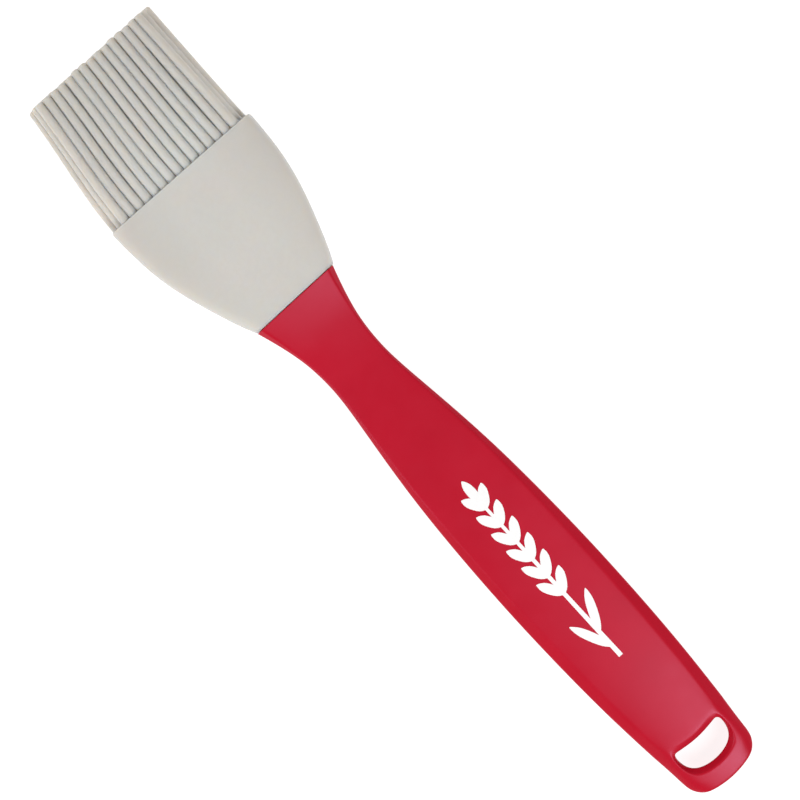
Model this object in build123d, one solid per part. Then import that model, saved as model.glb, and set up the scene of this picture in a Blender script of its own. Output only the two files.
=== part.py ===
from build123d import *
import math
import os

os.makedirs("parts", exist_ok=True)

# Millimetres. +Y runs to the bristle tips, +Z out of the front face, z = 0 is the rest plane.
Y_TIPS = 105.0
Y_MOUTH = 72.8  # end face of the silicone head, where the bristles stand
Y_JOINT = 35.7  # butt joint between handle and head
Y_END = -105.0
Z_MID = 7.0

# Handle: y, half width, front height, back height, side bevel width
HANDLE = [
    (Y_JOINT, 11.0, 12.3, 1.9, 1.3),
    (31.0, 9.6, 12.1, 2.1, 1.3),
    (26.7, 8.45, 11.95, 2.3, 1.25),
    (22.3, 7.6, 11.9, 2.3, 1.2),
    (15.3, 7.29, 12.0, 2.1, 1.2),
    (4.9, 8.3, 12.5, 1.4, 1.35),
    (-12.5, 10.3, 13.3, 0.1, 1.7),
    (-29.9, 11.4, 13.8, -0.4, 2.0),
    (-49.5, 11.8, 14.0, -0.4, 2.3),
    (-73.4, 11.3, 13.2, -0.1, 2.4),
    (-90.8, 9.9, 11.8, 1.0, 2.2),
    (Y_END - 1.5, 7.7, 10.6, 2.6, 1.6),
]
FACE_CROWN = 0.55  # rise of the front face between its two ridges
BEVEL_DROP = 1.5
BACK_ROUND = 3.0
END_ARC = 18.0  # plan radius of the tail end
END_CORNER = 3.0

# Hanging hole and the lower loop around it
LOOP_TOP = 10.6
STEP_Y, STEP_RADIUS = -92.3, 26.5  # crescent where the front face stops
HOLE_HALF = 6.45
HOLE_NEAR_Y, HOLE_CORNER_Y, HOLE_SIDE_Y, HOLE_FAR_Y = -93.3, -92.8, -95.6, -99.35
HOLE_SHOULDER = 4.6  # half width where the far arc meets the side arcs
HOLE_CHAMFER = 1.0

# Tang inside the head
TANG_LENGTH = 26.0
TANG_ROOT = (15.4, 6.4)  # width, thickness
TANG_TIP = (14.2, 5.6)
TANG_CORNER = 1.2
TANG_BURY = 3.0  # how far it reaches back into the handle
FIT_GAP = 0.08
SHOULDER_GAP = 0.1

# Head: y, half width, half thickness
HEAD = [
    (Y_JOINT + SHOULDER_GAP, 11.0, 5.3),
    (39.7, 12.7, 5.5),
    (44.1, 14.4, 5.8),
    (48.4, 15.9, 6.1),
    (52.8, 17.2, 6.4),
    (57.1, 18.25, 6.6),
    (61.5, 19.0, 6.8),
    (67.0, 19.5, 6.9),
    (Y_MOUTH + 1.5, 19.75, 7.0),
]
HEAD_CROWN = 0.5
HEAD_ROUND = 2.8  # corner radius of the section
MOUTH_TILT = 1.1  # degrees, the end face is not quite square
MOUTH_EDGE = 0.5

# Bristles: the middle row is the longest, and each row stands in the gaps of the next
ROW_COUNTS = (15, 16, 17, 16, 15)
ROWS = len(ROW_COUNTS)
ROW_PITCH = 2.45
BRISTLE_PITCH = 2.26
ROOT_RADIUS, TIP_RADIUS = 1.0, 0.88
ROOT_RISE = 0.45  # ball centre above the end face
DIMPLE_RADIUS = 1.1
TIP_GATHER, TIP_SHIFT = 0.922, 1.9  # tips stand closer together and lean to +X
ROW_GATHER = 0.93
TIP_TILT = 0.0095
TIP_UNEVEN = 0.12


def arc3(a, b, c):
    return ThreePointArc(a, b, c)


def handle_section(y, half, front, back, bevel):
    """Crowned front, bevelled edges, upright sides, rounded back corners."""
    ridge_x, ridge_z = half - bevel, front - FACE_CROWN
    side_z = ridge_z - BEVEL_DROP
    low_z = back + BACK_ROUND
    flat_x = half - BACK_ROUND
    round_x = half - BACK_ROUND * (1 - math.sqrt(0.5))
    round_z = back + BACK_ROUND * (1 - math.sqrt(0.5))
    right = [(ridge_x, ridge_z), (half, side_z), (half, low_z)]
    left = [(-x, z) for x, z in right]
    with BuildSketch(Plane.XZ.offset(-y)) as section:
        with BuildLine():
            arc3(left[0], (0, front), right[0])
            Polyline(*right)
            arc3(right[2], (round_x, round_z), (flat_x, back))
            Line((flat_x, back), (-flat_x, back))
            arc3((-flat_x, back), (-round_x, round_z), left[2])
            Polyline(*reversed(left))
        make_face()
    return section.sketch


def tail_outline():
    """Plan of everything that may stay: straight far beyond the sides, rounded at the tail."""
    wide, tail_half = 14.0, 8.3
    with BuildSketch() as plan:
        with BuildLine():
            arc_y = Y_END + END_ARC - math.sqrt(END_ARC**2 - tail_half**2)
            arc3((-tail_half, arc_y), (0, Y_END), (tail_half, arc_y))
            Polyline((tail_half, arc_y), (9.9, -90.8), (wide, -88), (wide, Y_JOINT + 1))
            Line((wide, Y_JOINT + 1), (-wide, Y_JOINT + 1))
            Polyline((-wide, Y_JOINT + 1), (-wide, -88), (-9.9, -90.8), (-tail_half, arc_y))
        make_face()
        corners = [v for v in plan.vertices() if v.Y < Y_END + 4]
        fillet(corners, END_CORNER)
    return plan.sketch


def hole_outline():
    """D shape: near edge bulging to the tail, far edge one deep arc."""
    with BuildSketch() as plan:
        with BuildLine():
            near = [(-HOLE_HALF, HOLE_CORNER_Y), (0, HOLE_NEAR_Y), (HOLE_HALF, HOLE_CORNER_Y)]
            arc3(*near)
            far_y = HOLE_FAR_Y + 0.65
            Line(near[2], (HOLE_HALF, HOLE_SIDE_Y))
            arc3((HOLE_HALF, HOLE_SIDE_Y), (5.85, -97.5), (HOLE_SHOULDER, far_y))
            arc3((HOLE_SHOULDER, far_y), (0, HOLE_FAR_Y), (-HOLE_SHOULDER, far_y))
            arc3((-HOLE_SHOULDER, far_y), (-5.85, -97.5), (-HOLE_HALF, HOLE_SIDE_Y))
            Line((-HOLE_HALF, HOLE_SIDE_Y), near[0])
        make_face()
        fillet([v for v in plan.vertices() if v.Y > HOLE_CORNER_Y - 0.1], 0.5)
    return plan.sketch


def tang(grow=0.0, reach=0.0):
    """Tapered flat tongue; grow and reach turn it into the socket that takes it."""
    def end(y, size):
        width, thick = size
        with BuildSketch(Plane.XZ.offset(-y).shift_origin((0, y, Z_MID))) as face:
            RectangleRounded(width + 2 * grow, thick + 2 * grow, TANG_CORNER)
        return face.sketch

    root = end(Y_JOINT - TANG_BURY, TANG_ROOT)
    tip = end(Y_JOINT + TANG_LENGTH + reach, TANG_TIP)
    return loft([root, tip])


def make_handle():
    grip = loft([handle_section(*station) for station in HANDLE])
    grip &= extrude(tail_outline(), 20)
    beyond = Pos(0, -100, LOOP_TOP + 5) * Box(30, 30, 10)
    panel = Pos(0, STEP_Y + STEP_RADIUS, LOOP_TOP + 5) * Cylinder(STEP_RADIUS, 10)
    grip -= beyond - panel
    grip -= extrude(hole_outline(), 20)
    flare_low = LOOP_TOP - HOLE_CHAMFER
    flare = extrude(offset(hole_outline(), 0.01), 2 * HOLE_CHAMFER, taper=-40)
    grip -= Pos(0, 0, flare_low) * flare
    return grip + tang()


def head_section(y, half, half_thick):
    """Pillow section, rounded on all four corners."""
    low, high = Z_MID - half_thick, Z_MID + half_thick
    edge_low, edge_high = low + HEAD_CROWN, high - HEAD_CROWN
    with BuildSketch(Plane.XZ.offset(-y)) as section:
        with BuildLine():
            arc3((-half, edge_high), (0, high), (half, edge_high))
            Line((half, edge_high), (half, edge_low))
            arc3((half, edge_low), (0, low), (-half, edge_low))
            Line((-half, edge_low), (-half, edge_high))
        make_face()
        fillet(section.vertices(), HEAD_ROUND)
    return section.sketch


def mouth_y(x):
    return Y_MOUTH - x * math.tan(math.radians(MOUTH_TILT))


def root_point(row, i):
    x = BRISTLE_PITCH * (i - (ROW_COUNTS[row] - 1) / 2)
    z = Z_MID + ROW_PITCH * (ROWS // 2 - row)
    return Vector(x, mouth_y(x) + ROOT_RISE, z)


def tip_point(row, i):
    root = root_point(row, i)
    uneven = TIP_UNEVEN * ((i * 7 + row * 3) % 5 - 4)
    y = Y_TIPS - TIP_TILT * (root.X + 17) + uneven
    z = Z_MID + ROW_GATHER * (root.Z - Z_MID)
    return Vector(TIP_GATHER * root.X + TIP_SHIFT, y, z)


def bristle(root, tip):
    """Round bristle with a ball root in its dimple and a domed tip."""
    way = tip - root
    length = way.length - TIP_RADIUS
    turn = math.sqrt(0.5)
    with BuildSketch(Plane.XZ) as half:
        with BuildLine():
            arc3((0, -ROOT_RADIUS), (ROOT_RADIUS * turn, -ROOT_RADIUS * turn), (ROOT_RADIUS, 0))
            Line((ROOT_RADIUS, 0), (TIP_RADIUS, length))
            dome = (TIP_RADIUS * turn, length + TIP_RADIUS * turn)
            arc3((TIP_RADIUS, length), dome, (0, length + TIP_RADIUS))
            Line((0, length + TIP_RADIUS), (0, -ROOT_RADIUS))
        make_face()
    upright = revolve(half.sketch, Axis.Z)
    return Plane(origin=root, z_dir=way).location * upright


def make_head():
    body = loft([head_section(*station) for station in HEAD])
    keep = Box(60, 120, 40, align=(Align.CENTER, Align.MAX, Align.CENTER))
    body &= Pos(0, Y_MOUTH, Z_MID) * Rot(0, 0, -MOUTH_TILT) * keep
    mouth = body.faces().sort_by(Axis.Y)[-1]
    body = fillet(mouth.edges(), MOUTH_EDGE)
    body -= tang(FIT_GAP, 0.5)
    for row in range(ROWS):
        for i in range(ROW_COUNTS[row]):
            at = root_point(row, i)
            body -= Pos(at.X, at.Y, at.Z) * Sphere(DIMPLE_RADIUS)
    return body


def make_row(row):
    return [bristle(root_point(row, i), tip_point(row, i)) for i in range(ROW_COUNTS[row])]


def save(name, *shapes):
    solids = [solid for shape in shapes for solid in shape.solids()]
    export_step(Compound(children=solids), f"parts/{name}.step")


save("handle", make_handle())
save("head_sleeve", make_head())
for number in range(ROWS):
    save(f"bristle_row_{number + 1}", *make_row(number))
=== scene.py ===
import bmesh
import bpy
import math
import random
from mathutils import Matrix, Vector


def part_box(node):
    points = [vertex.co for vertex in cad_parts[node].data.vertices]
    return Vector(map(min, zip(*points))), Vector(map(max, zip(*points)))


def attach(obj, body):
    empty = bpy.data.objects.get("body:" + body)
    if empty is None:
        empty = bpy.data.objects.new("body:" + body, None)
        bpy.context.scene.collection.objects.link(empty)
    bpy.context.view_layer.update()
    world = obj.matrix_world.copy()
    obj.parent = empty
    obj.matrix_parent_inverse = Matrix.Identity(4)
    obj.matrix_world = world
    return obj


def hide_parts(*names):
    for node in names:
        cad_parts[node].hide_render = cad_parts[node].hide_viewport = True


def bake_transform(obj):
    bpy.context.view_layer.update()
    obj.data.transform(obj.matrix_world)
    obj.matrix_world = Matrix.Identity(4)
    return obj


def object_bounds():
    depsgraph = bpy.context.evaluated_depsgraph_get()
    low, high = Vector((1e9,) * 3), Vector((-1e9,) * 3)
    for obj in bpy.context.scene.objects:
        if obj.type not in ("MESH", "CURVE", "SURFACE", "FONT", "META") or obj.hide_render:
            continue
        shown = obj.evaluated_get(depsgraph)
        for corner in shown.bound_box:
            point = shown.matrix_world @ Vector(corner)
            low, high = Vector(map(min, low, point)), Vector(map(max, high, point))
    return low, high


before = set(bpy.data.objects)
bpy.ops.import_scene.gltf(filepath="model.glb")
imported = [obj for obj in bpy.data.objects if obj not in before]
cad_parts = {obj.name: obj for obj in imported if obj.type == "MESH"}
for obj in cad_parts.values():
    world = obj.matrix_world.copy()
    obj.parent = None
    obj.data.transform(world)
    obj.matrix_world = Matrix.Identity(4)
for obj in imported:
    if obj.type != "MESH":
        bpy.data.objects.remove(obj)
cad_low, cad_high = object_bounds()

MM = 0.001
A_HAIR = 0.01        # slack, in millimetres, when points are picked by their place
random.seed(11)

# Places on the brush in millimetres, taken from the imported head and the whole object's box
MOUTH_SLOPE = math.tan(math.radians(1.1))
SHOULDER_GAP = 0.1
sleeve_low, sleeve_high = [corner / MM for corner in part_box("head_sleeve")]
Y_JOINT = round(sleeve_low.y - SHOULDER_GAP, 1)                    # where grip and head butt
Y_MOUTH = round(sleeve_high.y + sleeve_low.x * MOUTH_SLOPE, 1)     # where the bristles stand
Y_TIPS = round(cad_high.y / MM, 1)
Z_MID = round((sleeve_low.z + sleeve_high.z) / 2, 1)


# ---------------------------------------------------------------- hand tools

def let_go():
    """Nothing selected and nothing in edit mode."""
    if bpy.context.mode != "OBJECT":
        bpy.ops.object.mode_set(mode="OBJECT")
    bpy.ops.object.select_all(action="DESELECT")


def take(piece):
    """Only this piece selected and active."""
    let_go()
    piece.select_set(True)
    bpy.context.view_layer.objects.active = piece


def open_up(piece):
    """This piece alone in edit mode, selected all over."""
    take(piece)
    bpy.ops.object.mode_set(mode="EDIT")
    bpy.ops.mesh.select_all(action="SELECT")


def name_it(name):
    piece = bpy.context.active_object
    piece.name = name
    piece.data.name = name
    return piece


def join_up(pieces, name):
    """Joins the pieces into the first of them."""
    let_go()
    for piece in pieces:
        piece.select_set(True)
    bpy.context.view_layer.objects.active = pieces[0]
    bpy.ops.object.join()
    return name_it(name)


def start_pick(kind):
    bpy.ops.mesh.select_mode(type=kind)
    bpy.ops.mesh.select_all(action="DESELECT")


def pick_faces(piece, test):
    """Selects the faces whose middle, in millimetres, passes the test."""
    start_pick("FACE")
    cage = bmesh.from_edit_mesh(piece.data)
    for face in cage.faces:
        face.select_set(test(face.calc_center_median() / MM))
    bmesh.update_edit_mesh(piece.data)


def pick_edges(piece, test):
    """Selects the edges whose two ends, in millimetres, pass the test."""
    start_pick("EDGE")
    cage = bmesh.from_edit_mesh(piece.data)
    for edge in cage.edges:
        edge.select_set(test(edge.verts[0].co / MM, edge.verts[1].co / MM))
    bmesh.update_edit_mesh(piece.data)


def pick_points(piece, test):
    """Selects the points that pass the test, in millimetres."""
    start_pick("VERT")
    cage = bmesh.from_edit_mesh(piece.data)
    for point in cage.verts:
        point.select_set(test(point.co / MM))
    cage.select_flush_mode()
    bmesh.update_edit_mesh(piece.data)


def move(x, y, z):
    bpy.ops.transform.translate(value=(x * MM, y * MM, z * MM))


def scale(x, y, z, about=(0, 0, 0)):
    bpy.ops.transform.resize(value=(x, y, z), center_override=[c * MM for c in about])


def turn_flat(angle, about=(0, 0, 0)):
    """Turns what is selected about the upright line through a place."""
    bpy.ops.transform.rotate(value=angle, orient_axis="Z", center_override=[c * MM for c in about])


def pull_out(x, y, z):
    """Extrudes the selected faces and moves what comes out."""
    bpy.ops.mesh.extrude_region_move(
        TRANSFORM_OT_translate={"value": (x * MM, y * MM, z * MM)})


def crease(amount):
    bpy.ops.transform.edge_crease(value=amount)


def crease_ring(amount):
    """Creases the outline of the faces that are selected, and leaves them selected."""
    bpy.ops.mesh.region_to_loop()
    crease(amount)
    bpy.ops.mesh.loop_to_region()
    bpy.ops.mesh.select_mode(type="FACE")


def close_up(piece, levels=0, sharp=None):
    """Turns the faces outwards, rounds the cage with subdivision and shades it smooth."""
    open_up(piece)
    bpy.ops.mesh.normals_make_consistent(inside=False)
    bpy.ops.object.mode_set(mode="OBJECT")
    if levels:
        rounding = piece.modifiers.new("rounding", "SUBSURF")
        rounding.levels = levels
        rounding.render_levels = levels
        bpy.ops.object.modifier_apply(modifier=rounding.name)
    if sharp is None:
        bpy.ops.object.shade_smooth()
    else:
        bpy.ops.object.shade_smooth_by_angle(angle=math.radians(sharp))
    let_go()


# ---------------------------------------------------------------- slabs
# Grip and head both start as a grid laid over their plan, one unit to a square, pulled out
# downwards into a slab of LAYERS layers, and then set row by row to width, place and height.
# Columns count from the middle out, rows from one end on, layers from the top down. For the
# grip, row 0 is set to the joint and the last row to the tail; for the head, to joint and mouth.

COLUMNS = 6
LAYERS = 3
EDGE = 3             # the outermost column


def lay_grid(name, rows):
    let_go()
    bpy.ops.mesh.primitive_grid_add(x_subdivisions=COLUMNS, y_subdivisions=rows, size=MM)
    piece = name_it(name)
    bpy.ops.object.mode_set(mode="EDIT")
    scale(COLUMNS, rows, 1)
    move(0, rows / 2, 0)
    return piece


def thicken():
    bpy.ops.mesh.select_all(action="SELECT")
    for _ in range(LAYERS):
        pull_out(0, 0, -1)


def set_rows(piece, places):
    """places: {(column, row, layer): (x, y, z)}. Each mirrored pair of points is picked by where
    it stands on the plain slab, and then spread, moved along and moved up as one. A place
    inside the cut-out of a hole has no points and is passed over."""
    found = {}
    for point in bmesh.from_edit_mesh(piece.data).verts:
        spot = point.co / MM
        stands = (round(abs(spot.x), 2), round(spot.y, 2), round(-spot.z, 2))
        found.setdefault(stands, []).append(point.index)
    for (column, row, layer), (x, y, z) in places.items():
        pair = found.get((round(column, 2), round(row, 2), round(layer, 2)))
        if not pair:
            continue
        start_pick("VERT")
        cage = bmesh.from_edit_mesh(piece.data)
        cage.verts.ensure_lookup_table()
        for index in pair:
            cage.verts[index].select_set(True)
        bmesh.update_edit_mesh(piece.data)
        if column:
            scale(x / column, 1, 1)
        move(0, y - row, z + layer)


def near_points(spots, reach=0.02):
    """A test for points, on either side of the piece, that stand on one of these spots."""
    spots = [Vector(spot) for spot in spots]

    def test(point):
        seen = Vector((abs(point.x), point.y, point.z))
        return any((seen - spot).length < reach for spot in spots)
    return test


def crease_along(piece, spots, amount):
    """Creases the edges whose both ends stand on the spots, on both sides."""
    on = near_points(spots)

    def test(a, b):
        same_side = a.x * b.x >= 0 or max(abs(a.x), abs(b.x)) < A_HAIR
        return same_side and on(a) and on(b)
    pick_edges(piece, test)
    crease(amount)


def outline(places, row):
    """All the places around the outside of one row."""
    around = [places[(EDGE, row, layer)] for layer in range(LAYERS + 1)]
    return around + [places[(column, row, layer)] for column in range(EDGE) for layer in (0, LAYERS)]


def set_ring(places, row, y, ring):
    """The inner ring of an end face, on which a tang stands or a socket opens: (x, half thickness)
    for the three inner columns."""
    for column, (x, thick) in enumerate(ring):
        places[(column, row, 1)] = (x, y, Z_MID + thick)
        places[(column, row, 2)] = (x, y, Z_MID - thick)


# ---------------------------------------------------------------- handle

# Grip: y, half width, bevel width, bevel drop, front, back
GRIP = [
    (Y_JOINT, 11.12, 1.3, 1.5, 12.94, 1.8),
    (34.9, 10.83, 1.25, 1.4, 12.83, 1.83),
    (31.0, 9.58, 0.95, 1.0, 12.34, 2.0),
    (26.7, 8.42, 0.6, 0.7, 11.93, 2.2),
    (22.3, 7.55, 0.45, 0.6, 11.8, 2.3),
    (14.5, 7.07, 0.45, 0.6, 11.85, 2.1),
    (4.9, 8.27, 0.6, 0.7, 12.35, 1.3),
    (-12.5, 10.47, 1.2, 1.1, 13.35, 0.15),
    (-29.9, 11.46, 1.75, 1.4, 13.95, 0.0),
    (-49.5, 11.92, 2.15, 1.5, 14.0, 0.0),
    (-71.5, 11.45, 2.25, 1.5, 13.4, 0.0),
    (-84.0, 10.58, 2.2, 1.6, 12.5, 0.4),
]
CROWN = 0.55                        # rise of the front face between its ridges
FACE_SHARE, FACE_DROP = 0.62, 0.3   # shares of ridge and crown, a little way out from the middle
BACK_CORNER = 3.0
BACK_SHARE = 0.55
SIDE_DROP = 1.3                     # from the side's top edge to the next layer
SIDE_LEAN = (0.06, 0.4, 1.2)        # how far each lower layer stands in from the side's top edge
BACK_LIFT = (0.0, 0.0, 0.05, 0.85)  # rise of the back, column by column

# Loop around the hanging hole, columns from the middle out: x, y, top
BEFORE_CREST = [(0, -92.2, 11.95), (6.9, -90.35, 11.75), (7.8, -89.9, 11.48), (10.1, -89.6, 9.75)]
CREST = [(0, -93.1, 11.82), (6.9, -91.05, 11.67), (7.75, -90.5, 11.38), (10.05, -90.3, 9.6)]
LOOP_SIDE = [(0, -96, 10.9), (7.35, -95.8, 10.85), (8.1, -95.8, 10.75), (9.42, -95.7, 9.4)]
FAR_RING = [(0, -101.3, 10.95), (6.1, -100.1, 10.9), (7.8, -99.9, 10.6), (9.2, -99.7, 9.3)]
TAIL = [(0, -103.3, 10.5), (4.4, -102.7, 10.5), (6.9, -102.1, 10.25), (8.75, -101.4, 9.2)]
TAIL_END = [(0, -105.05, 10.1), (4.0, -104.6, 10.1), (6.5, -103.9, 9.9), (7.8, -102.8, 9.0)]
LOOP = [BEFORE_CREST, CREST, LOOP_SIDE, FAR_RING, TAIL, TAIL_END]
LOOP_BACK = [0.75, 1.0, 1.5, 1.9, 2.1, 2.4]
LOOP_LEAN = (0.05, 0.35, 0.7)       # as SIDE_LEAN and BACK_LIFT, for the loop
LOOP_LIFT = (0.0, 0.0, 0.1, 1.1)
LOOP_LOW = 2.9                      # height of the wall's lowest full layer above the back
END_WALL = [                        # below the tail's rim: layer, share of x, step in
    (1, 1.0, 0.0),
    (2, 0.99, 0.25),
    (3, 0.96, 0.9),
]
END_DROP, END_LIFT = 1.4, 0.9       # first layer below the rim, last layer above the back

CREST_ROW, SIDE_ROW, FAR_ROW = len(GRIP) + 1, len(GRIP) + 2, len(GRIP) + 3
LAST_ROW = len(GRIP) + len(LOOP) - 1

FLARE = 0.3          # inset of the flare on the plain grid
FLARE_DEPTH = 1.3
NEAR_LIP = 11.0      # height of the hole's near edge, just under the crest
HOLE = [             # rim of the through hole, below the flare: column and row, then x and y
    (0, CREST_ROW + FLARE, 0.0, -93.8),
    (1 - FLARE, CREST_ROW + FLARE, 6.6, -92.7),
    (1 - FLARE, SIDE_ROW, 6.55, -96.0),
    (1 - FLARE, FAR_ROW - FLARE, 4.8, -98.75),
    (0, FAR_ROW - FLARE, 0.0, -99.8),
]
HOLE_WALL = [(1, 7.4, 0.25), (2, 4.6, 0.45), (3, 2.2, 0.7)]   # layer, height, how far it opens
HOLE_SPREAD = 0.06   # share of its width that it gains for each millimetre it opens lengthways

TANG_ROOT = (7.7, 3.2)   # half width, half thickness
TANG_TIP = (7.1, 2.8)
TANG_LENGTH = 26.0
TANG_END = [(TANG_LENGTH - 0.9, 1.0), (TANG_LENGTH, 0.93)]        # along, share of thickness
TANG_GROOVES = (6.0, 12.5, 19.0)
GROOVE = [(0.0, 1.0), (0.45, 0.955), (1.6, 0.955), (2.05, 1.0)]   # the same, from its start
GROOVE_SIDES = 0.45      # depth of a groove at the sides, against its depth on the faces

# Creases on the grip's cage: 0 is quite soft, and from about 0.55 up an edge stays sharp
SHOULDER_CREASE = 0.6
RIDGE_CREASE = 0.5
SIDE_CREASE = 0.45
CREST_CREASE = 0.15
FLARE_CREASE = 0.5
HOLE_CREASE = 0.45
HOLE_CORNER_CREASE = 0.5
TAIL_CREASE = 0.4
ROOT_CREASE = 0.45
GROOVE_CREASE = 0.3
CORNER_CREASE = 0.36     # along the corners of tang and socket


def grip_section(row, y, half, bevel, drop, front, back):
    """One row of the grip's cage."""
    ridge_x, ridge_z = half - bevel, front - CROWN
    side_z = ridge_z - drop
    return {
        (0, row, 0): (0, y, front),
        (1, row, 0): (FACE_SHARE * ridge_x, y, front - FACE_DROP * CROWN),
        (2, row, 0): (ridge_x, y, ridge_z),
        (3, row, 0): (half, y, side_z),
        (3, row, 1): (half - SIDE_LEAN[0], y, side_z - SIDE_DROP),
        (3, row, 2): (half - SIDE_LEAN[1], y, back + BACK_CORNER),
        (3, row, 3): (half - SIDE_LEAN[2], y, back + BACK_LIFT[3]),
        (2, row, 3): (half - BACK_CORNER, y, back + BACK_LIFT[2]),
        (1, row, 3): (BACK_SHARE * half, y, back),
        (0, row, 3): (0, y, back),
    }


def loop_section(row, columns, back):
    """One row of the loop around the hanging hole."""
    places = {}
    for column, (x, y, top) in enumerate(columns):
        lean = LOOP_LEAN[2] if column == EDGE else 0
        places[(column, row, 0)] = (x, y, top)
        places[(column, row, 3)] = (x - lean, y, back + LOOP_LIFT[column])
    x, y, top = columns[EDGE]
    places[(EDGE, row, 1)] = (x - LOOP_LEAN[0], y, top - SIDE_DROP)
    places[(EDGE, row, 2)] = (x - LOOP_LEAN[1], y, back + LOOP_LOW)
    return places


def end_wall():
    """The tail's end wall, which rounds in towards the back."""
    places = {}
    back = LOOP_BACK[-1]
    for column, (x, y, top) in enumerate(TAIL_END):
        heights = (top - END_DROP, back + LOOP_LOW, back + END_LIFT)
        for (layer, share, step_in), z in zip(END_WALL, heights):
            places[(column, LAST_ROW, layer)] = (x * share, y + step_in, z)
    return places


def hole_walls():
    """The hole's rim and its walls, which open slightly towards the back."""
    places = {}
    for number, (column, row, x, y) in enumerate(HOLE):
        rim = NEAR_LIP if number < 2 else LOOP_SIDE[1][2] - FLARE_DEPTH
        away = 0 if row < SIDE_ROW else -1
        for layer, z, wider in [(0, rim, 0)] + HOLE_WALL:
            places[(column, row, layer)] = (x * (1 + HOLE_SPREAD * wider), y + away * wider, z)
    return places


def crease_grip(grip, places):
    """Crisp lines: shoulder, ridges, side edges, crest, flare, hole and the tail's rim."""
    def top(column, row):
        return places[(column, row, 0)]
    all_rows = range(LAST_ROW + 1)
    crease_along(grip, outline(places, 0), SHOULDER_CREASE)
    crease_along(grip, [top(2, row) for row in range(CREST_ROW + 1)], RIDGE_CREASE)
    crease_along(grip, [top(EDGE, row) for row in all_rows], SIDE_CREASE)
    crease_along(grip, [top(column, CREST_ROW) for column in (0, 1, 2)], CREST_CREASE)
    flare = [top(1, CREST_ROW), top(1, SIDE_ROW), top(1, FAR_ROW), top(0, FAR_ROW)]
    crease_along(grip, flare, FLARE_CREASE)
    for layer in (0, LAYERS):
        ring = [places[(column, row, layer)] for column, row, x, y in HOLE]
        crease_along(grip, ring, HOLE_CREASE)
    corner_column, corner_row = HOLE[1][:2]
    corners = [places[(corner_column, corner_row, layer)] for layer in range(LAYERS + 1)]
    crease_along(grip, corners, HOLE_CORNER_CREASE)
    crease_along(grip, [top(column, LAST_ROW) for column in range(EDGE + 1)], TAIL_CREASE)


def grow_tang(grip):
    """The tang, with three shallow holding grooves, grown out of the shoulder."""
    width, thick = TANG_ROOT
    pick_faces(grip, lambda at: at.y > Y_JOINT - A_HAIR and abs(at.x) < width
               and abs(at.z - Z_MID) < thick)
    crease_ring(ROOT_CREASE)
    steps = [(start + along, fit) for start in TANG_GROOVES for along, fit in GROOVE]
    done, old_x, old_z = 0.0, 1.0, 1.0
    for along, fit in steps + TANG_END:
        pull_out(0, along - done, 0)
        share = along / TANG_LENGTH
        new_x = (1 - (1 - TANG_TIP[0] / width) * share) * (1 - (1 - fit) * GROOVE_SIDES)
        new_z = (1 - (1 - TANG_TIP[1] / thick) * share) * fit
        scale(new_x / old_x, 1, new_z / old_z, about=(0, 0, Z_MID))
        crease_ring(GROOVE_CREASE)
        done, old_x, old_z = along, new_x, new_z

    def tang_corner(a, b):
        runs_along = abs(a.y - b.y) > 0.3 and abs(a.x - b.x) < 0.5
        return runs_along and min(a.y, b.y) > Y_JOINT - A_HAIR and min(abs(a.x), abs(b.x)) > 6
    pick_edges(grip, tang_corner)
    crease(CORNER_CREASE)


def make_handle():
    grip = lay_grid("handle_grip", LAST_ROW)

    # hanging hole: the block of faces behind the crest is inset for the flare and cut out
    pick_faces(grip, lambda at: abs(at.x) < 1 and CREST_ROW < at.y < FAR_ROW)
    bpy.ops.mesh.inset(thickness=FLARE * MM)
    bpy.ops.mesh.delete(type="FACE")
    thicken()

    places = {}
    for row, station in enumerate(GRIP):
        places.update(grip_section(row, *station))
    for step, (columns, back) in enumerate(zip(LOOP, LOOP_BACK)):
        places.update(loop_section(len(GRIP) + step, columns, back))
    places.update(end_wall())
    width, thick = TANG_ROOT
    set_ring(places, 0, Y_JOINT, [(width * column / 2, thick) for column in (0, 1, 2)])
    places.update(hole_walls())
    set_rows(grip, places)
    crease_grip(grip, places)
    grow_tang(grip)
    return grip


# ---------------------------------------------------------------- silicone head

# Sleeve: y, half width, half thickness
SLEEVE = [
    (Y_JOINT + 0.07, 11.2, 5.75),
    (36.5, 11.6, 5.76),
    (39.7, 13.05, 5.8),
    (44.1, 14.65, 5.85),
    (48.4, 16.15, 6.1),
    (52.8, 17.5, 6.4),
    (57.1, 18.55, 6.65),
    (61.5, 19.3, 6.85),
    (67.0, 19.75, 6.95),
    (72.0, 19.95, 7.0),
    (Y_MOUTH - 0.05, 19.85, 6.95),
]
NEAR_SHARE = 0.45                     # where a face's first column stands across the half width
CORNER_IN, SIDE_IN = 2.4, 0.4         # how far in from the side its next two stand
FACE_FALLS = (0.0, 0.09, 0.325, 1.1)  # how far each column lies below the middle of the face
SIDE_FALL = 3.3                       # and where the side runs straight
RIM_CREASE = 0.4
MOUTH_FLAT = [(0, 4.6), (8.5, 4.6), (17.0, 4.6)]   # inner ring of its face: x, half thickness
MOUTH_TURN = (0.4, 0.95, 1.0)         # share of the mouth's slope in the last three rows
SOCKET_RIM = (7.85, 3.35)
SOCKET_END = (7.2, 2.9)
SOCKET_DEPTH = 26.5
SOCKET_LIP = 0.5
SOCKET_RIM_CREASE, SOCKET_LIP_CREASE, SOCKET_END_CREASE = 0.45, 0.2, 0.5


def mouth_y(x):
    return Y_MOUTH - x * MOUTH_SLOPE


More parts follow.
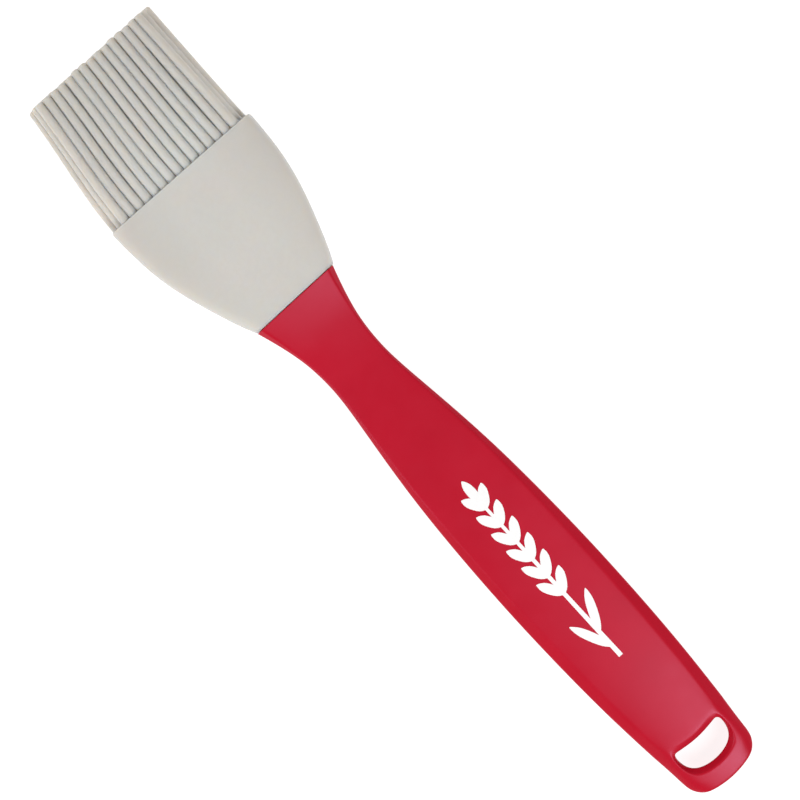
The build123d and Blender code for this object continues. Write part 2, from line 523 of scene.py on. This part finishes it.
def sleeve_section(row, y, half, thick):
    """One row of the head's cage, a pillow with rounded corners."""
    across = (0, half * NEAR_SHARE, half - CORNER_IN, half - SIDE_IN)
    places = {}
    for layer, sign in ((0, 1), (LAYERS, -1)):
        for column, (x, fall) in enumerate(zip(across, FACE_FALLS)):
            places[(column, row, layer)] = (x, y, Z_MID + sign * (thick - fall))
    places[(EDGE, row, 1)] = (half, y, Z_MID + thick - SIDE_FALL)
    places[(EDGE, row, 2)] = (half, y, Z_MID - thick + SIDE_FALL)
    return places


def slope_mouth(sleeve, row_y, share):
    """Turns one row, because the head's left corner stands further out than its right one."""
    pick_points(sleeve, lambda at: abs(at.y - row_y) < A_HAIR)
    turn_flat(math.atan(MOUTH_SLOPE * share), about=(0, row_y, Z_MID))


def sink_socket(sleeve, butt):
    """The socket that takes the tang."""
    width, thick = SOCKET_RIM
    pick_faces(sleeve, lambda at: at.y < butt + A_HAIR and abs(at.x) < width
               and abs(at.z - Z_MID) < thick)
    crease_ring(SOCKET_RIM_CREASE)
    pull_out(0, SOCKET_LIP, 0)
    crease_ring(SOCKET_LIP_CREASE)
    pull_out(0, SOCKET_DEPTH - SOCKET_LIP, 0)
    scale(SOCKET_END[0] / width, 1, SOCKET_END[1] / thick, about=(0, 0, Z_MID))
    crease_ring(SOCKET_END_CREASE)

    corner_x = (SOCKET_RIM[0] + SOCKET_END[0]) / 2
    corner_z = (SOCKET_RIM[1] + SOCKET_END[1]) / 2

    def in_corner(point):
        return abs(abs(point.x) - corner_x) < 0.5 and abs(abs(point.z - Z_MID) - corner_z) < 0.4

    def socket_corner(a, b):
        runs_along = abs(a.y - b.y) > 0.3 and abs(a.x - b.x) < 1
        return runs_along and in_corner(a) and in_corner(b)
    pick_edges(sleeve, socket_corner)
    crease(CORNER_CREASE)


def make_sleeve():
    last = len(SLEEVE) - 1
    sleeve = lay_grid("head_shell", last)
    thicken()
    places = {}
    for row, (y, half, thick) in enumerate(SLEEVE):
        places.update(sleeve_section(row, y, half, thick))
    butt, mouth = SLEEVE[0][0], SLEEVE[-1][0]
    width, thick = SOCKET_RIM
    set_ring(places, 0, butt, [(width * column / 2, thick) for column in (0, 1, 2)])
    set_ring(places, last, mouth, MOUTH_FLAT)
    set_rows(sleeve, places)
    for row in (0, last):
        crease_along(sleeve, outline(places, row), RIM_CREASE)
    for back_from_mouth, share in enumerate(reversed(MOUTH_TURN)):
        slope_mouth(sleeve, SLEEVE[last - back_from_mouth][0], share)
    sink_socket(sleeve, butt)
    return sleeve


# ---------------------------------------------------------------- bristles

ROW_COUNTS = (15, 16, 17, 16, 15)         # each row stands in the gaps of the next
ROWS = len(ROW_COUNTS)
ROW_PITCH = 2.45
PITCH = 2.26
ROW_SHIFT = (0.25, 0.0, -0.3, 0.0, 0.2)   # how far each row's roots stand off centre
ROOT_RADIUS, TIP_RADIUS = 1.26, 1.16
ROOT_SUNK = 1.3                           # how far a bristle starts inside the head
ROOT_FLARE = [(0.0, 0.13), (ROOT_SUNK, 0.1), (ROOT_SUNK + 0.7, 0.03)]   # along, added radius
DOME = [(0.0, 1.0), (0.24, 0.94), (0.44, 0.76), (0.54, 0.45)]           # rise, share of radius
DOME_LENGTH = 0.56
RINGS = 12
SIDES = 12
LENGTH = Y_TIPS - Y_MOUTH

TUFT_HALF = 17.0                          # about half the tuft's width at the roots
GATHER, LEAN = 0.913, 1.93                # tips stand closer together and lean to +X
MIDDLE_LEAN, MIDDLE_HALF = 0.35, 18.0     # the middle of the tuft leans a little more
ROW_GATHER = 0.93
TIP_SLOPE = 0.0095
TIP_JITTER, TIP_SHORT, SWAY, LIFT = 0.1, 0.35, 0.13, 0.15
LATE = 1.6                                # how late a bristle bends over: 1 is a straight lean
LATE_FROM = 0.6                           # share of the tuft's width where the late bend takes over


def root_height(row):
    return Z_MID + ROW_PITCH * (ROWS // 2 - row)


def bristle_blank():
    """One straight bristle along +Y, flared at the root, tapered, with a domed tip."""
    let_go()
    bpy.ops.mesh.primitive_circle_add(
        vertices=SIDES, radius=ROOT_RADIUS * MM, fill_type="NGON",
        location=(0, 0, 0), rotation=(math.radians(-90), 0, 0))
    bpy.ops.object.transform_apply(location=True, rotation=True, scale=True)
    blank = name_it("bristle_blank")
    bpy.ops.object.mode_set(mode="EDIT")
    bpy.ops.mesh.select_all(action="SELECT")
    stations = [(along, ROOT_RADIUS + more) for along, more in ROOT_FLARE]
    for ring in range(1, RINGS):
        share = ring / RINGS
        radius = ROOT_RADIUS + (TIP_RADIUS - ROOT_RADIUS) * share
        stations.append((ROOT_SUNK + LENGTH * share, radius))
    shaft_end = ROOT_SUNK + LENGTH - DOME_LENGTH
    stations += [(shaft_end + rise, TIP_RADIUS * size) for rise, size in DOME]
    at, radius = stations[0]
    for next_at, next_radius in stations[1:]:
        pull_out(0, next_at - at, 0)
        scale(next_radius / radius, 1, next_radius / radius)
        at, radius = next_at, next_radius
    bpy.ops.object.mode_set(mode="OBJECT")
    return blank


def sweep(piece, root, tip, sway, lift):
    """Leans a standing bristle ring by ring: it leaves the mouth nearly square and bends over
    along its length, later at the right side of the tuft."""
    cage = bmesh.from_edit_mesh(piece.data)
    heights = sorted({round(point.co.y / MM, 3) for point in cage.verts})
    side = (root.x + TUFT_HALF) / (2 * TUFT_HALF)
    mix = min(1.0, max(0.0, (side - LATE_FROM) / (1 - LATE_FROM)))
    for height in heights:
        share = max(0.0, (height - root.y) / (tip.y - root.y))
        soft = share * share * (3 - 2 * share)
        late = share ** LATE
        along = 0.5 * (late + soft) * (1 - mix) + late * mix
        wave = math.sin(math.pi * share)
        pick_points(piece, lambda at: abs(at.y - height) < 0.004)
        move((tip.x - root.x) * along + sway * wave, 0, (tip.z - root.z) * share + lift * wave)


def set_bristle(blank, row, number):
    """A copy of the blank, stood at its root, leant and swept to where its tip lies."""
    x = PITCH * (number - (ROW_COUNTS[row] - 1) / 2)
    root = Vector((x + ROW_SHIFT[row], mouth_y(x), root_height(row)))
    middle = 1 - (x / MIDDLE_HALF) ** 2
    tip_x = GATHER * x + LEAN + MIDDLE_LEAN * middle + random.uniform(-TIP_JITTER, TIP_JITTER)
    tip_y = Y_TIPS - TIP_SLOPE * (root.x + TUFT_HALF) - random.uniform(0.0, TIP_SHORT)
    tip_z = Z_MID + ROW_GATHER * (root.z - Z_MID)
    sway = random.uniform(-SWAY, SWAY)
    lift = random.uniform(-LIFT, LIFT)

    piece = blank.copy()
    piece.data = blank.data.copy()
    bpy.context.scene.collection.objects.link(piece)
    open_up(piece)
    move(0, -ROOT_SUNK, 0)
    scale(1, (tip_y - root.y) / LENGTH, 1)
    move(*root)
    sweep(piece, root, Vector((tip_x, tip_y, tip_z)), sway, lift)
    bpy.ops.object.mode_set(mode="OBJECT")
    return piece


def make_row(blank, row):
    pieces = [set_bristle(blank, row, number) for number in range(ROW_COUNTS[row])]
    return join_up(pieces, "bristles_%d" % (row + 1))


# ---------------------------------------------------------------- printed wheat ear

INK = 0.09
STEM_FROM, STEM_TO = -69.0, -23.0
STEM_WIDTH, STEM_TOP_WIDTH = 1.1, 0.7
STEM_STEPS = 24
GRAIN_PAIRS = 6
GRAIN_START, GRAIN_STEP = -51.0, 5.0
GRAIN_LENGTH, GRAIN_SHORTER, GRAIN_WIDTH = 6.6, 0.12, 2.3
GRAIN_OFFSET = 0.15
GRAIN_LEAN = math.radians(31)
TOP_GRAIN = (6.8, 2.2, -24.6)    # length, width, y
LEAF_LENGTH, LEAF_WIDTH, LEAF_OFFSET = 10.5, 2.1, 0.1
LEAF_LEAN = math.radians(24)
LEAVES = [(1, -66.5), (-1, -62.5)]   # side, y
PINCHES = [(0.55, 0.9), (0.75, 0.82), (0.9, 0.7)]   # beyond this share of the half length, factor
# Heights of the films' tops over the grip: each lies a little above what it crosses
STEM_HEIGHT, LEAF_HEIGHT, TOP_HEIGHT = 0.03, 0.05, 0.09
GRAIN_HEIGHTS = [(1, 0.05), (-1, 0.07)]   # side, height
CLEAR_OF_GRIP = 20.0             # a film starts this far up and drops


def add_grain(length, width, place, lean):
    """One leaf-shaped grain, drawn flat: a disc pinched to a point at both ends."""
    let_go()
    bpy.ops.mesh.primitive_circle_add(vertices=24, radius=MM, fill_type="TRIFAN")
    grain = name_it("grain")
    bpy.ops.object.mode_set(mode="EDIT")
    scale(width / 2, length / 2, 1)
    half = length / 2
    for reach, pinch in PINCHES:
        pick_points(grain, lambda at: abs(at.y) > reach * half)
        scale(pinch, 1, 1)
    bpy.ops.mesh.select_all(action="SELECT")
    move(0, half, 0)
    turn_flat(-lean)
    move(place[0], place[1], 0)
    bpy.ops.object.mode_set(mode="OBJECT")
    return grain


def add_stem():
    """The stem, a long strip, drawn flat, that narrows to the top."""
    let_go()
    bpy.ops.mesh.primitive_grid_add(x_subdivisions=2, y_subdivisions=STEM_STEPS, size=MM)
    stem = name_it("stem")
    bpy.ops.object.mode_set(mode="EDIT")
    scale(STEM_WIDTH, STEM_TO - STEM_FROM, 1)
    move(0, (STEM_FROM + STEM_TO) / 2, 0)
    for step in range(1, STEM_STEPS + 1):
        share = step / STEM_STEPS
        y = STEM_FROM + (STEM_TO - STEM_FROM) * share
        pick_points(stem, lambda at: abs(at.y - y) < 0.05)
        scale(1 + (STEM_TOP_WIDTH / STEM_WIDTH - 1) * share, 1, 1)
    bpy.ops.object.mode_set(mode="OBJECT")
    return stem


def lay_on(grip, part, height):
    """Drops a flat part onto the grip's face and gives the ink its thickness."""
    open_up(part)
    move(0, 0, CLEAR_OF_GRIP)
    bpy.ops.object.mode_set(mode="OBJECT")
    lay = part.modifiers.new("lay on the grip", "SHRINKWRAP")
    lay.target = grip
    lay.wrap_method = "PROJECT"
    lay.use_project_z = True
    lay.use_negative_direction = True
    lay.use_positive_direction = False
    lay.offset = height * MM
    bpy.ops.object.modifier_apply(modifier=lay.name)
    film = part.modifiers.new("ink film", "SOLIDIFY")
    film.thickness = INK * MM
    film.offset = -1
    bpy.ops.object.modifier_apply(modifier=film.name)
    return part


def make_print(grip):
    """A wheat ear: stem, two leaves, six pairs of grains and one grain at the top."""
    parts = [lay_on(grip, add_stem(), STEM_HEIGHT)]
    for side, y in LEAVES:
        leaf = add_grain(LEAF_LENGTH, LEAF_WIDTH, (side * LEAF_OFFSET, y), side * LEAF_LEAN)
        parts.append(lay_on(grip, leaf, LEAF_HEIGHT))
    for pair in range(GRAIN_PAIRS):
        length = GRAIN_LENGTH - pair * GRAIN_SHORTER
        y = GRAIN_START + pair * GRAIN_STEP
        for side, height in GRAIN_HEIGHTS:
            grain = add_grain(length, GRAIN_WIDTH, (side * GRAIN_OFFSET, y), side * GRAIN_LEAN)
            parts.append(lay_on(grip, grain, height))
    length, width, y = TOP_GRAIN
    top = lay_on(grip, add_grain(length, width, (0, y), 0), TOP_HEIGHT)
    return join_up([top] + parts, "printed_ear")


# ---------------------------------------------------------------- finishes

def new_finish(name):
    finish = bpy.data.materials.new(name)
    finish.use_nodes = True
    tree = finish.node_tree
    return finish, tree, tree.nodes["Principled BSDF"]


def noise(tree, spot, size, detail, roughness=0.5):
    """Cloudy noise; size is that of its largest patches, in millimetres."""
    node = tree.nodes.new("ShaderNodeTexNoise")
    node.inputs["Scale"].default_value = 1 / (size * MM)
    node.inputs["Detail"].default_value = detail
    node.inputs["Roughness"].default_value = roughness
    tree.links.new(spot, node.inputs["Vector"])
    return node.outputs["Fac"]


def spread(tree, value, low, high, to_low=0.0, to_high=1.0):
    """Maps a value from one span to another, kept inside it."""
    node = tree.nodes.new("ShaderNodeMapRange")
    for label, number in zip(("From Min", "From Max", "To Min", "To Max"),
                             (low, high, to_low, to_high)):
        node.inputs[label].default_value = number
    tree.links.new(value, node.inputs["Value"])
    return node.outputs["Result"]


def blend_colours(tree, share, first, second):
    """Mixes two colours, each a tuple or another node's output."""
    node = tree.nodes.new("ShaderNodeMix")
    node.data_type = "RGBA"
    tree.links.new(share, node.inputs["Factor"])
    for socket, colour in ((node.inputs["A"], first), (node.inputs["B"], second)):
        if isinstance(colour, tuple):
            socket.default_value = colour + (1.0,)
        else:
            tree.links.new(colour, socket)
    return node.outputs["Result"]


def bump(tree, height, depth, strength, under=None):
    """Relief of a depth in millimetres, laid over another relief if one is given."""
    node = tree.nodes.new("ShaderNodeBump")
    node.inputs["Distance"].default_value = depth * MM
    node.inputs["Strength"].default_value = strength
    tree.links.new(height, node.inputs["Height"])
    if under is not None:
        tree.links.new(under, node.inputs["Normal"])
    return node.outputs["Normal"]


def object_spot(tree, stretch=(1, 1, 1)):
    place = tree.nodes.new("ShaderNodeTexCoord")
    turn = tree.nodes.new("ShaderNodeMapping")
    turn.inputs["Scale"].default_value = stretch
    tree.links.new(place.outputs["Object"], turn.inputs["Vector"])
    return turn.outputs["Vector"]


def red_plastic():
    """Satin moulded plastic, deep red, with faint flow marks, fine grain and handling wear."""
    deep_red, bright_red = (0.475, 0.0025, 0.0145), (0.505, 0.0035, 0.017)
    streak_red = (0.49, 0.003, 0.018)
    finish, tree, shader = new_finish("red_plastic")
    spot = object_spot(tree)
    flow = object_spot(tree, (1.0, 0.25, 1.0))
    cloud = noise(tree, spot, 14.0, 3.0)
    streak = noise(tree, flow, 3.0, 4.0)
    body = blend_colours(tree, spread(tree, cloud, 0.35, 0.65), deep_red, bright_red)
    colour = blend_colours(tree, spread(tree, streak, 0.3, 0.7, 0.0, 0.35), body, streak_red)
    tree.links.new(colour, shader.inputs["Base Color"])
    wear = noise(tree, spot, 5.0, 5.0, 0.6)
    tree.links.new(spread(tree, wear, 0.3, 0.7, 0.33, 0.4), shader.inputs["Roughness"])
    swell = bump(tree, noise(tree, flow, 9.0, 1.0), 0.05, 0.5)
    grain = bump(tree, noise(tree, spot, 0.35, 2.0), 0.008, 0.6, swell)
    tree.links.new(grain, shader.inputs["Normal"])
    shader.inputs["Specular IOR Level"].default_value = 0.35
    shader.inputs["Specular Tint"].default_value = (0.88, 0.6, 0.88, 1)
    return finish


def grey_silicone():
    """Matt moulded silicone: warm light grey, a little light passing through, dusty patches, and
    painted shade:
    darker towards the sides, where the crown turns from the light, and towards the tips, where light
    falls off."""
    warm_grey, cool_grey, speck_grey = (0.66, 0.635, 0.6), (0.64, 0.635, 0.6), (0.625, 0.6, 0.56)
    tip_shade_grey, side_shade_grey = (0.5, 0.465, 0.42), (0.56, 0.53, 0.49)
    finish, tree, shader = new_finish("grey_silicone")
    spot = object_spot(tree)
    cloud = noise(tree, spot, 16.0, 2.0)
    speck = noise(tree, spot, 1.1, 4.0, 0.6)
    tone = blend_colours(tree, spread(tree, cloud, 0.35, 0.65), warm_grey, cool_grey)
    colour = blend_colours(tree, spread(tree, speck, 0.35, 0.75, 0.0, 0.5), tone, speck_grey)
    along = tree.nodes.new("ShaderNodeSeparateXYZ")
    tree.links.new(spot, along.inputs["Vector"])
    # painted shade: the colour darkens towards the bristle tips, in place of light falling off there
    tip_shade = spread(tree, along.outputs["Y"], 0.076, 0.106, 0.0, 0.5)
    colour = blend_colours(tree, tip_shade, colour, tip_shade_grey)
    across = tree.nodes.new("ShaderNodeMath")
    across.operation = "ABSOLUTE"
    tree.links.new(along.outputs["X"], across.inputs[0])
    # painted shade: the colour darkens towards the sides, in place of light falling off over the
    # crown
    side_shade = spread(tree, across.outputs["Value"], 0.006, 0.02, 0.0, 0.6)
    colour = blend_colours(tree, side_shade, colour, side_shade_grey)
    tree.links.new(colour, shader.inputs["Base Color"])
    dust = noise(tree, spot, 4.0, 5.0, 0.65)
    tree.links.new(spread(tree, dust, 0.3, 0.7, 0.5, 0.62), shader.inputs["Roughness"])
    skin = bump(tree, noise(tree, spot, 0.22, 3.0), 0.012, 0.7)
    tree.links.new(skin, shader.inputs["Normal"])
    shader.inputs["Specular IOR Level"].default_value = 0.2
    shader.inputs["Subsurface Weight"].default_value = 0.9
    shader.inputs["Subsurface Radius"].default_value = (1.0, 0.8, 0.6)
    shader.inputs["Subsurface Scale"].default_value = 3.5 * MM
    return finish


def white_ink():
    """Pad-printed white ink: nearly even, with a slightly starved, speckled film."""
    full_white, thin_white = (0.96, 0.955, 0.95), (0.92, 0.9, 0.9)
    finish, tree, shader = new_finish("white_ink")
    spot = object_spot(tree)
    film = noise(tree, spot, 0.9, 4.0, 0.6)
    colour = blend_colours(tree, spread(tree, film, 0.4, 0.8, 0.0, 0.6), full_white, thin_white)
    tree.links.new(colour, shader.inputs["Base Color"])
    tree.links.new(spread(tree, film, 0.3, 0.7, 0.42, 0.55), shader.inputs["Roughness"])
    tree.links.new(bump(tree, noise(tree, spot, 0.25, 2.0), 0.006, 0.5), shader.inputs["Normal"])
    return finish


# ---------------------------------------------------------------- camera, stage, light

VIEW_UP = Vector((0.6766, 0.7364, 0))
AIM = Vector((1.85, 4.23, Z_MID)) * MM
FRAME_WIDTH = 174.1 * MM
FAR_OFF = 2.0
TILT = math.radians(2.5)
SENSOR = 36.0

FLOOR_SIZE, FLOOR_Z = 6, -0.0002
FLOOR_GREY, FLOOR_GLOW = 0.35, 0.85   # together they stay white under the lamps
TENT_LIGHT = 0.33


def make_camera():
    back = Vector((math.sin(TILT), 0, math.cos(TILT)))
    up = (VIEW_UP - VIEW_UP.dot(back) * back).normalized()
    right = up.cross(back)
    data = bpy.data.cameras.new("camera")
    data.sensor_width = SENSOR
    data.lens = SENSOR * FAR_OFF / FRAME_WIDTH
    data.clip_start, data.clip_end = 0.01, 20
    camera = bpy.data.objects.new("camera", data)
    bpy.context.scene.collection.objects.link(camera)
    turn = Matrix((right, up, back)).transposed().to_4x4()
    camera.matrix_world = Matrix.Translation(AIM + back * FAR_OFF) @ turn
    bpy.context.scene.camera = camera


def softbox(name, place, size, power):
    """A rectangular lamp that faces the origin."""
    data = bpy.data.lights.new(name, "AREA")
    data.shape = "RECTANGLE"
    data.size, data.size_y = size
    data.energy = power
    lamp = bpy.data.objects.new(name, data)
    bpy.context.scene.collection.objects.link(lamp)
    lamp.location = place
    lamp.rotation_euler = (-Vector(place)).to_track_quat("-Z", "Y").to_euler()


def make_stage():
    let_go()
    bpy.ops.mesh.primitive_plane_add(size=FLOOR_SIZE, location=(0, 0, FLOOR_Z))
    floor = name_it("floor")
    bpy.ops.object.transform_apply(location=True, rotation=True, scale=True)
    table, tree, shader = new_finish("white_table")
    shader.inputs["Base Color"].default_value = (FLOOR_GREY, FLOOR_GREY, FLOOR_GREY, 1)
    shader.inputs["Roughness"].default_value = 0.9
    shader.inputs["Specular IOR Level"].default_value = 0.0
    shader.inputs["Emission Color"].default_value = (1, 1, 1, 1)
    shader.inputs["Emission Strength"].default_value = FLOOR_GLOW
    floor.data.materials.append(table)
    tent = bpy.data.worlds.new("tent")
    tent.use_nodes = True
    backdrop = tent.node_tree.nodes["Background"]
    backdrop.inputs["Color"].default_value = (1, 1, 1, 1)
    backdrop.inputs["Strength"].default_value = TENT_LIGHT
    bpy.context.scene.world = tent
    softbox("over_the_tail", (0.11, -0.60, 1.15), (0.5, 0.5), 9.6)
    softbox("side_window", (-0.87, 0.51, 0.80), (0.9, 0.65), 6.5)
    bpy.context.scene.view_settings.view_transform = "Standard"
    bpy.context.scene.view_settings.look = "None"


# ---------------------------------------------------------------- the brush put together

make_camera()
make_stage()
red, grey, white = red_plastic(), grey_silicone(), white_ink()

handle = make_handle()
close_up(handle, 3)
handle.data.materials.append(red)
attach(handle, "handle")
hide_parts("handle")

ear = make_print(handle)
close_up(ear, 0, 40)
ear.data.materials.append(white)
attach(ear, "handle")

head = make_sleeve()
close_up(head, 3)
head.data.materials.append(grey)
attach(head, "head")
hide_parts("head_sleeve")

blank = bristle_blank()
for row in range(ROWS):
    tuft = make_row(blank, row)
    close_up(tuft)
    tuft.data.materials.append(grey)
    body, node = "row_%d" % (row + 1), "bristle_row_%d" % (row + 1)
    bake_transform(tuft)
    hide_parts(node)
bpy.data.objects.remove(blank)
